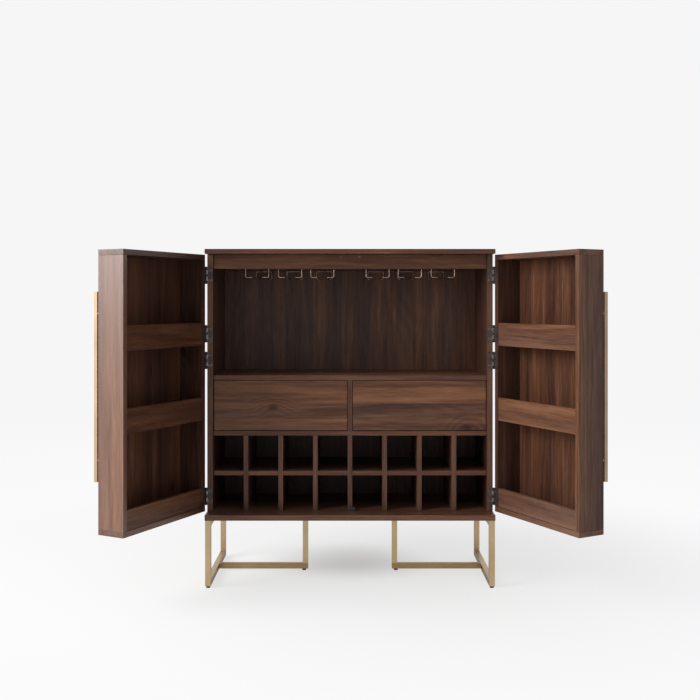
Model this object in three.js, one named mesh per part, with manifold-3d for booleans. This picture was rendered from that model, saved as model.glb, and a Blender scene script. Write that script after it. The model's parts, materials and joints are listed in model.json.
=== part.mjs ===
// A bar cabinet on two square-tube base frames. Two deep doors with bottle trays stand open beside a
// carcass that holds a bar bay with stemware racks, two drawers and a grid of bottle cells.
// Millimetres, +Z up, the front towards -Y. The origin is on the floor, on the cabinet's centre plane,
// midway in depth between the free corner of the open left-hand door and the back edge of the top.
// Inside the model y = 0 is the front edge of the top panel, and the whole is shifted at the end.

import * as THREE from "three";
import { mergeVertices } from "three/addons/utils/BufferGeometryUtils.js";
import Module from "manifold-3d";

const wasm = await Module();
wasm.setup();

// Overall
const width = 1219;
const height = 1422;
const depth = 600; // the top and bottom panels, front to back
const baseHeight = 283; // floor to the underside of the bottom panel

// Fits
const seam = 0.2; // glue line or seat between two fixed pieces
const running = 0.3; // between pieces that slide or turn on each other
const reveal = 2; // shadow gap at the ends and the top of a drawer front
const revealBelow = 3; // shadow gap under a drawer front
const doorGap = 3; // between the two closed doors
const doorClearance = 1; // above and below a door
const overrun = 5; // how far a cutting tool reaches past the face that it opens

// Carcass boards
const topThick = 20;
const bottomThick = 23;
const sideThick = 25;
const boardThick = 20; // decks, dividers, rail and rack board
const drawerDeckThick = 20;
const backThick = 18;
const backInset = 42; // the back panel stands in from the back edges of the sides
const doorRecess = 92; // the sides' front edges stand back from the top panel's front edge
const innerSetback = 18; // decks, rail and drawers stand back from the sides' front edges
const railHeight = 60;
const drawerBayHeight = 218;

// Bottle cells
const cellColumns = 8;
const cellRows = 2;
const cellHeight = 150.5;

// Base frames
const tube = 24;
const tubeWall = 2;
const frameInset = 2; // outer leg faces in from the sides' faces
const frameSetback = 3; // front and back leg faces in from the panels' edges
const innerLegReach = 211; // the inner leg's outer face, from the centre plane
const crossBarShare = 0.553; // of the depth, to the middle of the cross bars
const footHeight = 8;
const footRadius = 8.8;
const footChamfer = 1;
const studRadius = 4; // the stud by which a foot is screwed into its tube
const studHeight = 12;
const innerFootShift = 6; // the inner foot stands under the cross bar, off the middle of its leg

// Stemware racks
const rackShares = [0.204, 0.441, 0.684]; // rack centres, of the way from the centre plane to a side
const rackWire = 4;
const rackBend = 6; // bend radius on the wire's centre line
const bendLimitShare = 0.45; // most of a straight leg that a bend may take
const rackDrop = 37; // rack board to the centre line of the rails
const rackRailSpan = 41;
const rackFrontFlare = 29.5; // how far the front legs stand outside the rails
const rackRearFlare = 15.5;
const rackFront = 25; // the front legs, behind the top rail's front face
const rackRear = 15; // the rear loop, in front of the back panel

// Doors
const openAngles = { left: 113, right: 114 }; // as the doors stand open
const doorDepth = 128;
const doorBevel = 20.5; // the free end slants in by this much, so that one door clears the other
const doorBoard = 25; // hinge-side and free-end panels
const doorCap = 22; // top and bottom boards
const faceThick = 19;
const lipRecess = 2;
const lipThick = 19;
const trayFloor = 19;
const trayHeight = 97;
const bottomLip = 79; // stands on the bottom board
const trayRiseShares = { middle: 0.356, upper: 0.646 }; // undersides, of the door's height

// Hinges
const hingeRiseShares = { 1: 0.058, 2: 0.588, 3: 0.692, 4: 0.92 }; // centres, of the door's height
const hingeHeight = 73;
const leafMargin = 1; // bare wood beside a leaf
const leafThick = 1.6;
const barrelClearance = 0.9; // from the knuckles to the plane of the side's face
const knuckles = 5;
const knuckleRadius = 3.6;
const pinRadius = 1.5;
const pinTip = 1;

// Pulls
const pullLength = 731;
const pullRiseShare = 0.518; // centre, of the door's height
const pullBar = 15;
const pullGap = 6; // between the bar and the door's face
const pullInset = 2; // from the face's free edge
const postSpacing = 565;
const postRadius = 5;

// Drawers
const frontThick = 19;
const boxInset = 8; // box sides in from the ends of the drawer front
const boxWall = 12;
const boxBottom = 6;
const boxHeadroom = 56; // from a box's rim up to the deck above
const guideWidth = 12; // cleats that straddle the runner

// Drawer runners and push latches
const runnerWidth = 40;
const runnerHeight = 9;
const runnerClearance = 5; // from a runner up to the drawer's bottom
const runnerSetback = 6; // behind the drawer front
const housingWidth = 28;
const housingDepth = 22;
const plungerRise = 36; // plunger axis above the deck
const plungerRadius = 4;
const plungerFlange = 2; // the head stands proud of the stem by this much
const plungerHead = 4;
const plungerTail = 12; // how much of the stem stands in the housing
const plungerTravel = 3;
const plungerSpare = 1.3; // left between head and housing when pressed right in
const plungerFloor = 5; // left behind the plunger's bore

// Door catch on the bottom panel
const catchWidth = 25;
const catchHeight = 17;
const catchOffset = 10; // centre to the right of the centre plane
const catchClearance = 1; // behind the sides' front edges

// Facets of the round pieces
const pinSides = 12;
const footSides = 20;
const wireSides = 6;
const bendSteps = 3;

// Places that several pieces share
const halfWidth = width / 2;
const innerHalf = halfWidth - sideThick;
const floorZ = baseHeight + bottomThick; // inside floor of the carcass
const ceilingZ = height - topThick;
const carcassY = doorRecess;
const innerY = doorRecess + innerSetback;
const backY = depth - backInset - backThick; // inner face of the back panel
const cellDeckZ = floorZ + cellRows * cellHeight + (cellRows - 1) * boardThick;
const drawerFloorZ = cellDeckZ + boardThick;
const drawerDeckZ = drawerFloorZ + drawerBayHeight;
const rackZ = ceilingZ - railHeight; // underside of the rail and of the rack board
const pinOut = knuckleRadius + barrelClearance; // a pin stands this far outside the side's face
const pinX = halfWidth + pinOut;
const hingeGap = 2 * (leafThick + 2 * seam); // between the sides' front edges and the closed doors
const pinY = carcassY - hingeGap / 2;
const doorLowZ = floorZ + doorClearance;
const doorHighZ = ceilingZ - doorClearance;
const doorHeight = doorHighZ - doorLowZ;

// Finishes

const finishes = {
  walnut: { color: 0x4d342b, roughness: 0.55, metalness: 0 },
  lining: { color: 0x8a6a4c, roughness: 0.65, metalness: 0 },
  brass: { color: 0xb09b78, roughness: 0.35, metalness: 0.9 },
  bronze: { color: 0x3a302a, roughness: 0.45, metalness: 0.8 },
  steel: { color: 0x8c8c8a, roughness: 0.4, metalness: 0.9 },
  black: { color: 0x151515, roughness: 0.6, metalness: 0 },
};

function piece(name, geometry, finish) {
  const mesh = new THREE.Mesh(geometry, new THREE.MeshStandardMaterial(finishes[finish]));
  mesh.name = name;
  return mesh;
}

// Shapes. A span is [low, high] along one axis.

function block(spanX, spanY, spanZ) {
  const spans = [spanX, spanY, spanZ];
  const sizes = spans.map(([low, high]) => high - low);
  const centres = spans.map(([low, high]) => (low + high) / 2);
  return new THREE.BoxGeometry(...sizes).translate(...centres);
}

// An outline of [x, y] corners seen from above, raised from one height to another.
function prism(outline, [low, high]) {
  const shape = new THREE.Shape(outline.map(([x, y]) => new THREE.Vector2(x, y)));
  const geometry = new THREE.ExtrudeGeometry(shape, { depth: high - low, bevelEnabled: false });
  return geometry.translate(0, 0, low);
}

// An upright round bar.
function rod(radius, [low, high], sides) {
  const bar = new THREE.CylinderGeometry(radius, radius, high - low, sides);
  return bar.rotateX(Math.PI / 2).translate(0, 0, (low + high) / 2);
}

// A round bar along Y.
function plug(radius, [low, high], sides) {
  const bar = new THREE.CylinderGeometry(radius, radius, high - low, sides);
  return bar.translate(0, (low + high) / 2, 0);
}

function toSolid(geometry) {
  const bare = geometry.clone();
  bare.deleteAttribute("normal");
  bare.deleteAttribute("uv");
  const merged = mergeVertices(bare);
  const mesh = new wasm.Mesh({
    numProp: 3,
    vertProperties: merged.attributes.position.array,
    triVerts: new Uint32Array(merged.index.array),
  });
  return new wasm.Manifold(mesh);
}

function toGeometry(solid) {
  const { vertProperties, triVerts } = solid.getMesh();
  const indexed = new THREE.BufferGeometry();
  indexed.setAttribute("position", new THREE.BufferAttribute(vertProperties, 3));
  indexed.setIndex(new THREE.BufferAttribute(triVerts, 1));
  const geometry = indexed.toNonIndexed();
  geometry.computeVertexNormals();
  return geometry;
}

function join(shapes, cuts = []) {
  const body = shapes.map(toSolid).reduce((all, next) => all.add(next));
  return toGeometry(cuts.map(toSolid).reduce((left, next) => left.subtract(next), body));
}

// A rectangular board that fills its spans but for half a glue line on every side.
function board(name, spanX, spanY, spanZ, finish = "walnut") {
  const spans = [spanX, spanY, spanZ];
  const sizes = spans.map(([low, high]) => high - low - seam);
  const centres = spans.map(([low, high]) => (low + high) / 2);
  const mesh = piece(name, new THREE.BoxGeometry(...sizes), finish);
  mesh.position.set(...centres);
  return mesh;
}

// Carcass: boards that lie across the centre plane

function carcassBoards() {
  const across = [-innerHalf, innerHalf];
  const bay = [innerY, backY];
  return [
    board("top_panel", [-halfWidth, halfWidth], [0, depth], [ceilingZ, height]),
    board("bottom_panel", [-halfWidth, halfWidth], [0, depth], [baseHeight, floorZ]),
    board("back_panel", across, [backY, backY + backThick], [floorZ, ceilingZ]),
    board("top_rail", across, [innerY, innerY + boardThick], [rackZ, ceilingZ]),
    board("rack_board", across, [innerY + boardThick, backY], [rackZ, rackZ + boardThick]),
    board("drawer_deck", across, bay, [drawerDeckZ, drawerDeckZ + drawerDeckThick]),
    board("drawer_divider", [-boardThick / 2, boardThick / 2], bay, [drawerFloorZ, drawerDeckZ]),
    board("cell_deck", across, bay, [cellDeckZ, drawerFloorZ]),
  ];
}

// Bottle cells: upright dividers half-lapped through the shelves between the rows, as one grid

function bottleGrid() {
  const edge = innerHalf - seam / 2;
  const deep = [innerY + seam / 2, backY - seam / 2];
  const tall = [floorZ + seam / 2, cellDeckZ - seam / 2];
  const pitch = (2 * innerHalf + boardThick) / cellColumns;
  const boards = [];
  for (let row = 1; row < cellRows; row += 1) {
    const top = floorZ + row * (cellHeight + boardThick);
    boards.push(block([-edge, edge], deep, [top - boardThick, top]));
  }
  for (let column = 1; column < cellColumns; column += 1) {
    const right = -innerHalf + column * pitch;
    boards.push(block([right - boardThick, right], deep, tall));
  }
  return piece("bottle_grid", join(boards), "walnut");
}

function doorCatch() {
  const y = [carcassY + catchClearance, innerY - seam];
  const x = [catchOffset - catchWidth / 2, catchOffset + catchWidth / 2];
  const z = [floorZ + seam / 2, floorZ + catchHeight];
  return piece("door_catch", block(x, y, z), "black");
}

// Base frame: two corner legs joined by side bars, and an inner leg on cross bars, welded from tube.
// The underside has a hole for the stud of each foot.

const crossBarY = crossBarShare * depth;
const cornerLegX = -(halfWidth - frameInset) + tube / 2;
const footPlaces = {
  front: [cornerLegX, frameSetback + tube / 2],
  back: [cornerLegX, depth - frameSetback - tube / 2],
  inner: [-innerLegReach + tube / 2 - innerFootShift, crossBarY],
};

function frameBars(inset) {
  const outer = -(halfWidth - frameInset);
  const side = [outer + inset, outer + tube - inset];
  const inner = [-innerLegReach + inset, -innerLegReach + tube - inset];
  const across = [outer + inset, -innerLegReach + tube - inset];
  const front = [frameSetback + inset, frameSetback + tube - inset];
  const back = [depth - frameSetback - tube + inset, depth - frameSetback - inset];
  const along = [front[0], back[1]];
  const middle = [crossBarY - tube / 2 + inset, crossBarY + tube / 2 - inset];
  const low = [footHeight + inset, footHeight + tube - inset];
  const high = [baseHeight - tube + inset, baseHeight - seam - inset];
  const leg = [low[0], high[1]];
  return [
    block(side, front, leg),
    block(side, back, leg),
    block(inner, middle, leg),
    block(side, along, low),
    block(side, along, high),
    block(across, middle, low),
    block(across, middle, high),
  ];
}

function baseFrame(hand) {
  const drilled = [footHeight - overrun, footHeight + tubeWall + overrun];
  const holes = Object.values(footPlaces).map(([x, y]) => {
    return rod(studRadius + running, drilled, footSides).translate(x, y, 0);
  });
  return piece(`base_frame_${hand}`, join(frameBars(0), [...frameBars(tubeWall), ...holes]), "brass");
}

function feet(hand) {
  const profile = [
    [0, 0],
    [footRadius - footChamfer, 0],
    [footRadius, footChamfer],
    [footRadius, footHeight - seam],
    [studRadius, footHeight - seam],
    [studRadius, footHeight + studHeight],
    [0, footHeight + studHeight],
  ];
  const outline = profile.map(([r, z]) => new THREE.Vector2(r, z));
  return Object.entries(footPlaces).map(([place, [x, y]]) => {
    const turned = new THREE.LatheGeometry(outline, footSides).rotateX(Math.PI / 2);
    const foot = piece(`foot_${hand}_${place}`, turned, "black");
    foot.position.set(x, y, 0);
    return foot;
  });
}

// Stemware racks: each one bent wire, from the rack board down, in to two rails that run back, and up
// into a loop that is fixed under the board at the rear

class BentWire extends THREE.Curve {
  constructor(corners, radius) {
    super();
    const points = corners.map((corner) => new THREE.Vector3(...corner));
    const legs = points.slice(1).map((point, i) => point.distanceTo(points[i]));
    const bend = Math.min(radius, bendLimitShare * Math.min(...legs));
    this.stations = [points[0]];
    for (let i = 1; i < points.length - 1; i += 1) {
      const into = points[i].clone().sub(points[i - 1]).normalize();
      const out = points[i + 1].clone().sub(points[i]).normalize();
      const centre = points[i].clone().addScaledVector(into, -bend).addScaledVector(out, bend);
      for (let step = 0; step <= bendSteps; step += 1) {
        const turn = ((Math.PI / 2) * step) / bendSteps;
        const station = centre.clone().addScaledVector(out, -bend * Math.cos(turn));
        this.stations.push(station.addScaledVector(into, bend * Math.sin(turn)));
      }
    }
    this.stations.push(points.at(-1));
    this.steps = this.stations.length - 1;
  }

  getPoint(share) {
    return this.stations[Math.round(share * this.steps)].clone();
  }

  getPointAt(share) {
    return this.getPoint(share);
  }

  getTangentAt(share) {
    const i = Math.round(share * this.steps);
    const here = this.stations[i];
    const into = here.clone().sub(this.stations[Math.max(i - 1, 0)]).normalize();
    const out = this.stations[Math.min(i + 1, this.steps)].clone().sub(here).normalize();
    return into.add(out).normalize();
  }
}

function stemwareRack(name) {
  const rail = rackRailSpan / 2;
  const front = rail + rackFrontFlare;
  const rear = rail + rackRearFlare;
  const y0 = innerY + rackFront;
  const y1 = backY - rackRear;
  const z0 = rackZ - rackDrop;
  const z1 = rackZ - rackWire / 2 - seam;
  const half = [
    [front, y0, rackZ - seam],
    [front, y0, z0],
    [rail, y0, z0],
    [rail, y1, z0],
    [rear, y1, z0],
    [rear, y1, z1],
  ];
  const otherHalf = half.map(([x, y, z]) => [-x, y, z]).reverse();
  const wire = new BentWire([...half, ...otherHalf], rackBend);
  const section = new THREE.Shape();
  for (let side = 0; side < wireSides; side += 1) {
    const turn = (2 * Math.PI * side) / wireSides;
    const corner = [Math.cos(turn), Math.sin(turn)].map((share) => (share * rackWire) / 2);
    section[side ? "lineTo" : "moveTo"](...corner);
  }
  const options = { steps: wire.steps, extrudePath: wire, bevelEnabled: false };
  return piece(name, new THREE.ExtrudeGeometry(section, options), "bronze");
}

function racks(hand) {
  return rackShares.map((share, i) => {
    const rack = stemwareRack(`stemware_rack_${hand}_${i + 1}`);
    rack.position.x = -share * innerHalf;
    return rack;
  });
}

// Butt hinges. Each leaf is drawn about its pin, with +X towards the cabinet's centre. The carcass leaf
// has the odd knuckles and the pin, and the door leaf has the even ones.

function hingeLeaf(name, onDoor) {
  const near = onDoor ? -hingeGap / 2 + seam : seam;
  const face = [near, near + leafThick];
  const half = hingeHeight / 2;
  const step = hingeHeight / knuckles;
  const plateStart = knuckleRadius + 2 * running;
  const plateEnd = pinOut + (onDoor ? doorBoard : sideThick) - leafMargin;
  const shapes = [block([plateStart, plateEnd], face, [-half, half])];
  const bores = [];
  for (let k = onDoor ? 1 : 0; k < knuckles; k += 2) {
    const span = [k * step - half + running / 2, (k + 1) * step - half - running / 2];
    shapes.push(rod(knuckleRadius, span, pinSides));
    shapes.push(block([0, plateStart + seam], face, span));
  }
  if (onDoor) {
    bores.push(rod(pinRadius + running, [-half - overrun, half + overrun], pinSides));
  } else {
    shapes.push(rod(pinRadius, [-half - pinTip, half + pinTip], pinSides));
  }
  return piece(name, join(shapes, bores), "bronze");
}

// Doors. Each is drawn closed about its hinge pins, with +X from the pins to the free end and -Y out of
// the cabinet, and is then turned open.

const door = {
  start: pinOut,
  end: pinX - doorGap / 2,
  rear: -hingeGap / 2,
  front: -hingeGap / 2 - doorDepth,
};
door.faceBack = door.front + faceThick;
door.lipRear = door.rear - lipRecess;
door.faceEnd = door.end - doorBevel;

// The free end's outer face slants: where it stands at a given depth.
function endAt(y) {
  return door.end - (doorBevel * (door.rear - y)) / doorDepth;
}

function doorFrame(hand) {
  const low = [doorLowZ, doorLowZ + doorCap];
  const high = [doorHighZ - doorCap, doorHighZ];
  const between = [low[1] - seam, high[0] + seam];
  const whole = [
    [door.start, door.rear],
    [door.end, door.rear],
    [door.faceEnd, door.front],
    [door.start, door.front],
  ];
  const hingePanel = [
    [door.start, door.rear],
    [door.start + doorBoard, door.rear],
    [door.start + doorBoard, door.faceBack],
    [door.start, door.front],
  ];
  const endPanel = [
    [door.end - doorBoard, door.rear],
    [door.end, door.rear],
    [door.faceEnd, door.front],
    [endAt(door.faceBack) - doorBoard, door.faceBack],
  ];
  const lip = [
    [door.start + doorBoard - seam, door.lipRear],
    [endAt(door.lipRear) - doorBoard + seam, door.lipRear],
    [endAt(door.lipRear) - doorBoard + seam, door.lipRear - lipThick],
    [door.start + doorBoard - seam, door.lipRear - lipThick],
  ];
  const shapes = [
    prism(whole, low),
    prism(whole, high),
    prism(hingePanel, between),
    prism(endPanel, between),
    prism(lip, [low[1] - seam, low[1] + bottomLip]),
  ];
  return piece(`door_${hand}_frame`, join(shapes), "walnut");
}

// The outer slab, mitred to the hinge-side and free-end panels.
function doorFace(hand) {
  const outline = [
    [door.start + seam, door.front],
    [door.faceEnd - seam, door.front],
    [endAt(door.faceBack) - doorBoard - seam, door.faceBack],
    [door.start + doorBoard + seam, door.faceBack],
  ];
  const tall = [doorLowZ + doorCap + seam, doorHighZ - doorCap - seam];
  return piece(`door_${hand}_face`, prism(outline, tall), "walnut");
}

// A shelf board with an upright lip along its open edge.
function doorTray(hand, place, rise) {
  const start = door.start + doorBoard + seam;
  const rear = door.lipRear;
  const lipBack = rear - lipThick;
  const back = door.faceBack + seam;
  const inside = (y) => endAt(y) - doorBoard - seam;
  const floor = [
    [start, rear],
    [inside(rear), rear],
    [inside(back), back],
    [start, back],
  ];
  const lip = [
    [start, rear],
    [inside(rear), rear],
    [inside(lipBack), lipBack],
    [start, lipBack],
  ];
  const base = doorLowZ + rise;
  const shapes = [prism(floor, [base, base + trayFloor]), prism(lip, [base, base + trayHeight])];
  return piece(`door_${hand}_${place}_tray`, join(shapes), "walnut");
}

function doorPull(hand) {
  const middle = doorLowZ + pullRiseShare * doorHeight;
  const near = door.faceEnd - pullInset;
  const outer = door.front - pullGap - pullBar;
  const barX = [near - pullBar, near];
  const barZ = [middle - pullLength / 2, middle + pullLength / 2];
  const shapes = [block(barX, [outer, outer + pullBar], barZ)];
  for (const end of [-1, 1]) {
    const post = plug(postRadius, [outer + pullBar / 2, door.front - seam], pinSides);
    shapes.push(post.translate(near - pullBar / 2, 0, middle + (end * postSpacing) / 2));
  }
  return piece(`door_${hand}_pull`, join(shapes), "brass");
}

function hangDoor(hand) {
  const group = new THREE.Group();
  group.position.set(-pinX, pinY, 0);
  group.rotation.z = -THREE.MathUtils.degToRad(openAngles[hand]);
  group.add(doorFrame(hand), doorFace(hand), doorPull(hand));
  for (const [place, share] of Object.entries(trayRiseShares)) {
    group.add(doorTray(hand, place, share * doorHeight));
  }
  for (const [number, share] of Object.entries(hingeRiseShares)) {
    const leaf = hingeLeaf(`hinge_${hand}_${number}_door_leaf`, true);
    leaf.position.z = doorLowZ + share * doorHeight;
    group.add(leaf);
  }
  return group;
}

function carcassLeaves(hand) {
  return Object.entries(hingeRiseShares).map(([number, share]) => {
    const leaf = hingeLeaf(`hinge_${hand}_${number}_case_leaf`, false);
    leaf.position.set(-pinX, pinY, doorLowZ + share * doorHeight);
    return leaf;
  });
}

// Drawers: an inset front on a box that slides on the deck, steered by cleats that straddle a runner

const bay = { left: -innerHalf, right: -boardThick / 2 };
bay.centre = (bay.left + bay.right) / 2;
const boxY = innerY + frontThick + seam;
const latchY = backY - seam - housingDepth; // front face of the latch housings
const headY = latchY - plungerSpare - plungerTravel - plungerHead; // face of the plungers' heads
const boxBackY = headY - running;

function drawerFront(hand) {
  const x = [bay.left + reveal, bay.right - reveal];
  const z = [drawerFloorZ + revealBelow, drawerDeckZ - reveal];
  return piece(`drawer_${hand}_front`, block(x, [innerY, innerY + frontThick], z), "walnut");
}

function drawerBox(hand) {
  const left = bay.left + reveal + boxInset;
  const right = bay.right - reveal - boxInset;
  const slideZ = drawerFloorZ + running;
  const bottomZ = drawerFloorZ + runnerHeight + runnerClearance;
  const rim = drawerDeckZ - boxHeadroom;
  const long = [boxY, boxBackY];
  const wide = [left, right];
  const cleat = runnerWidth / 2 + 2 * running;
  const shapes = [
    block([left, left + boxWall], long, [slideZ, rim]),
    block([right - boxWall, right], long, [slideZ, rim]),
    block(wide, [boxY, boxY + boxWall], [bottomZ, rim]),
    block(wide, [boxBackY - boxWall, boxBackY], [bottomZ, rim]),
    block(wide, long, [bottomZ, bottomZ + boxBottom]),
    block([bay.centre - cleat - guideWidth, bay.centre - cleat], long, [slideZ, bottomZ + seam]),
    block([bay.centre + cleat, bay.centre + cleat + guideWidth], long, [slideZ, bottomZ + seam]),
  ];
  return piece(`drawer_${hand}_box`, join(shapes), "lining");
}

// The runner ends in the housing of the push latch, which stands against the back panel.
function drawerRunner(hand) {
  const deck = drawerFloorZ + seam / 2;
  const rear = backY - seam;
  const axisZ = drawerFloorZ + plungerRise;
  const half = housingWidth / 2;
  const along = [boxY + runnerSetback, rear];
  const shapes = [
    block([-runnerWidth / 2, runnerWidth / 2], along, [deck, deck + runnerHeight]),
    block([-half, half], [latchY, rear], [deck, axisZ + half]),
  ];
  const bore = plug(plungerRadius + running, [latchY - overrun, rear - plungerFloor], pinSides);
  bore.translate(0, 0, axisZ);
  const runner = piece(`drawer_${hand}_runner`, join(shapes, [bore]), "steel");
  runner.position.x = bay.centre;
  return runner;
}

function latchPlunger(hand) {
  const shapes = [
    plug(plungerRadius + plungerFlange, [headY, headY + plungerHead], pinSides),
    plug(plungerRadius, [headY + plungerHead / 2, latchY + plungerTail], pinSides),
  ];
  const plunger = piece(`drawer_${hand}_latch_plunger`, join(shapes), "black");
  plunger.position.set(bay.centre, 0, drawerFloorZ + plungerRise);
  return plunger;
}

// The left-hand side, and the same mirrored for the right

function sidePanel(hand) {
  return board(`side_panel_${hand}`, [-halfWidth, -innerHalf], [carcassY, depth], [floorZ, ceilingZ]);
}

function handed(hand) {
  const group = new THREE.Group();
  group.scale.x = hand === "left" ? 1 : -1;
  group.add(sidePanel(hand), baseFrame(hand), ...feet(hand), ...racks(hand));
  group.add(hangDoor(hand), ...carcassLeaves(hand));
  group.add(drawerFront(hand), drawerBox(hand), drawerRunner(hand), latchPlunger(hand));
  return group;
}

// The left-hand door's free corner reaches furthest forward, and so sets the origin
const open = THREE.MathUtils.degToRad(openAngles.left);
const frontReach = pinY - door.end * Math.sin(open) + door.rear * Math.cos(open);

const cabinet = new THREE.Group();
cabinet.add(...carcassBoards(), bottleGrid(), doorCatch(), handed("left"), handed("right"));
cabinet.position.y = -Math.round((frontReach + depth) / 2);

export default cabinet;
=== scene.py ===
import json
import math

import bmesh
import bpy
from mathutils import Matrix, Vector


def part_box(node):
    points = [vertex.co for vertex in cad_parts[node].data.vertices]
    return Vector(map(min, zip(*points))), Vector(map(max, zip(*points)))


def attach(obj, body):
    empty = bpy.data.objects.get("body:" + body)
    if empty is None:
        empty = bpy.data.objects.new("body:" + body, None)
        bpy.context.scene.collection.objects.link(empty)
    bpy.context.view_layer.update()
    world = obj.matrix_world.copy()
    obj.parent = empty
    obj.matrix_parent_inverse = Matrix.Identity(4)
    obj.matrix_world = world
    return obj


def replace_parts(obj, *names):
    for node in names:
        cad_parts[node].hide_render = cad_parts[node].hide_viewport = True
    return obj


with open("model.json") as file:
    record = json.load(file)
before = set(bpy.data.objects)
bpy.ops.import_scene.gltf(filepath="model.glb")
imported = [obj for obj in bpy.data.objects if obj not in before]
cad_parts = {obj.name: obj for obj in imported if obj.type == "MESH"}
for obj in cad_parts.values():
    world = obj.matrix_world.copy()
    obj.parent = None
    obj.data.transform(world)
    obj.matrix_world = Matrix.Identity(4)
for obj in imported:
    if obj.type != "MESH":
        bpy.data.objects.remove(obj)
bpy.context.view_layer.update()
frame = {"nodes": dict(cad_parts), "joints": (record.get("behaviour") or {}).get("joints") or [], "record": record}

# Base frames: one under each side, welded from square steel tube and plated in brushed champagne
# brass. Each is screwed up into the bottom panel, and stands on three feet.

mm = 0.001
same_point = 0.01 * mm
tube_corner = 1.6 * mm
brush_marks = 2200.0
brass_bright = (204, 182, 147)
brass_dull = (174, 149, 112)
# The crossbar's colours are painted shade: the bars under the cabinet are drawn darker than the brass above, and
# the faces that look to the centre darker still, above the low bars and on them.
crossbar = {
    "reach": (583 * mm, 581 * mm),
    "height": (34 * mm, 33 * mm),
    "dull": (142, 116, 80),
    "bright": (170, 144, 106),
    "inward_shade": (150, 122, 88),
    "low": (108, 76, 48),
}


def colour(srgb):
    """A colour as the eye reads it, 0 to 255, as Blender's linear light."""
    return tuple(((c / 255 + 0.055) / 1.055) ** 2.4 for c in srgb) + (1.0,)


class Field:
    """A value, colour or vector that varies over a surface, held as a socket of its node tree."""

    def __init__(self, tree, socket):
        self.tree = tree
        self.socket = socket

    def node(self, kind, sockets, output=0, stops=(), **settings):
        """Adds a node of any kind: its settings first, then its sockets' values or fields."""
        made = self.tree.nodes.new(kind)
        for name, value in settings.items():
            setattr(made, name, value)
        for i, (position, tint) in enumerate(stops):
            elements = made.color_ramp.elements
            element = elements[i] if i < len(elements) else elements.new(position)
            element.position = position
            element.color = colour(tint)
        for name, value in sockets.items():
            if isinstance(value, Field):
                self.tree.links.new(value.socket, made.inputs[name])
            else:
                made.inputs[name].default_value = value
        return Field(self.tree, made.outputs[output])

    def other(self, output):
        """Another output of the node that this field comes from."""
        return Field(self.tree, self.socket.node.outputs[output])

    def maths(self, operation, *values):
        return self.node("ShaderNodeMath", dict(enumerate(values)), operation=operation)

    def noise(self, scale, detail=2.0, roughness=0.5):
        sockets = {"Vector": self, "Scale": scale, "Detail": detail, "Roughness": roughness}
        return self.node("ShaderNodeTexNoise", sockets)

    def drift(self, scale):
        """Slow noise along a line, for a field that is a length."""
        sockets = {"W": self, "Scale": scale, "Detail": 1.0}
        return self.node("ShaderNodeTexNoise", sockets, noise_dimensions="1D")

    def rises(self, low, high):
        """0 below low, 1 above high, and smooth between. With low above high it falls instead."""
        sockets = {"Value": self, "From Min": low, "From Max": high}
        return self.node("ShaderNodeMapRange", sockets, interpolation_type="SMOOTHSTEP")

    def mix(self, tint, other):
        """Where this mask is 0 the first colour, and where it is 1 the other."""
        sockets = {0: self, 6: tint, 7: other}
        return self.node("ShaderNodeMix", sockets, output=2, data_type="RGBA")

    def ramp(self, stops):
        return self.node("ShaderNodeValToRGB", {0: self}, stops=stops)

    def __add__(self, other):
        return self.maths("ADD", self, other)

    def __radd__(self, other):
        return self.maths("ADD", other, self)

    def __sub__(self, other):
        return self.maths("SUBTRACT", self, other)

    def __rsub__(self, other):
        return self.maths("SUBTRACT", other, self)

    def __mul__(self, other):
        return self.maths("MULTIPLY", self, other)

    def __rmul__(self, other):
        return self.maths("MULTIPLY", other, self)

    def __truediv__(self, other):
        return self.maths("DIVIDE", self, other)

    def __rtruediv__(self, other):
        return self.maths("DIVIDE", other, self)


def coated(name, uniform, pattern):
    """A material. pattern turns the place on the piece into fields for the shader's sockets."""
    material = bpy.data.materials.new(name)
    material.use_nodes = True
    tree = material.node_tree
    shader = tree.nodes["Principled BSDF"]
    for socket, value in uniform.items():
        shader.inputs[socket].default_value = value
    place = Field(tree, tree.nodes.new("ShaderNodeTexCoord").outputs["Object"])
    for socket, field in pattern(place).items():
        tree.links.new(field.socket, shader.inputs[socket])
    return material


def stretched(place, scales):
    return place.node("ShaderNodeVectorMath", {0: place, 1: scales}, operation="MULTIPLY")


def relief(height, depth):
    """Fine relief from a height field that runs from 0 to 1."""
    return height.node("ShaderNodeBump", {"Height": height, "Distance": depth, "Strength": 1.0})


def brushed_brass(name, dull, bright, roughness, crossbar=None):
    """Brass brushed upright. Under its height and inside its reach, each from where it fades to where it is full,
    a crossbar is brushed level, and its colour is painted darker as shade under the cabinet. Faces that look to
    the centre are painted darker still as shade, and darkest down there."""

    def pattern(place):
        lines = stretched(place, (1, 1, 0.01)).noise(brush_marks, 2.0)
        cloud = place.noise(9.0, 3.0)
        tint = (0.5 * lines + 0.5 * cloud).ramp([(0.3, dull), (0.7, bright)])
        if crossbar:
            x = place.node("ShaderNodeSeparateXYZ", {0: place})
            across = x.maths("ABSOLUTE", x).rises(*crossbar["reach"])
            low = x.other(2).rises(*crossbar["height"])
            bar = across * low
            level = stretched(place, (0.01, 0.01, 1)).noise(brush_marks, 2.0)
            stops = [(0.3, crossbar["dull"]), (0.7, crossbar["bright"])]
            # The crossbar's colour is painted darker, as shade under the cabinet
            darker = (0.5 * level + 0.5 * cloud).ramp(stops)
            lines = lines + bar * (level - lines)
            tint = bar.mix(tint, darker)
            # Faces that look to the centre are painted darker as shade under the cabinet, darkest on the low bars
            facing = x.node("ShaderNodeSeparateXYZ", {0: place.other("Normal")})
            inward_shade = (x * facing).rises(-0.1, -0.4)
            tint = inward_shade.mix(tint, low.mix(colour(crossbar["inward_shade"]), colour(crossbar["low"])))
        return {
            "Base Color": tint,
            "Roughness": roughness + 0.16 * lines + 0.06 * cloud,
            "Normal": relief(lines, depth=0.03 * mm),
        }

    return coated(name, {"Metallic": 1.0}, pattern)


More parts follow.
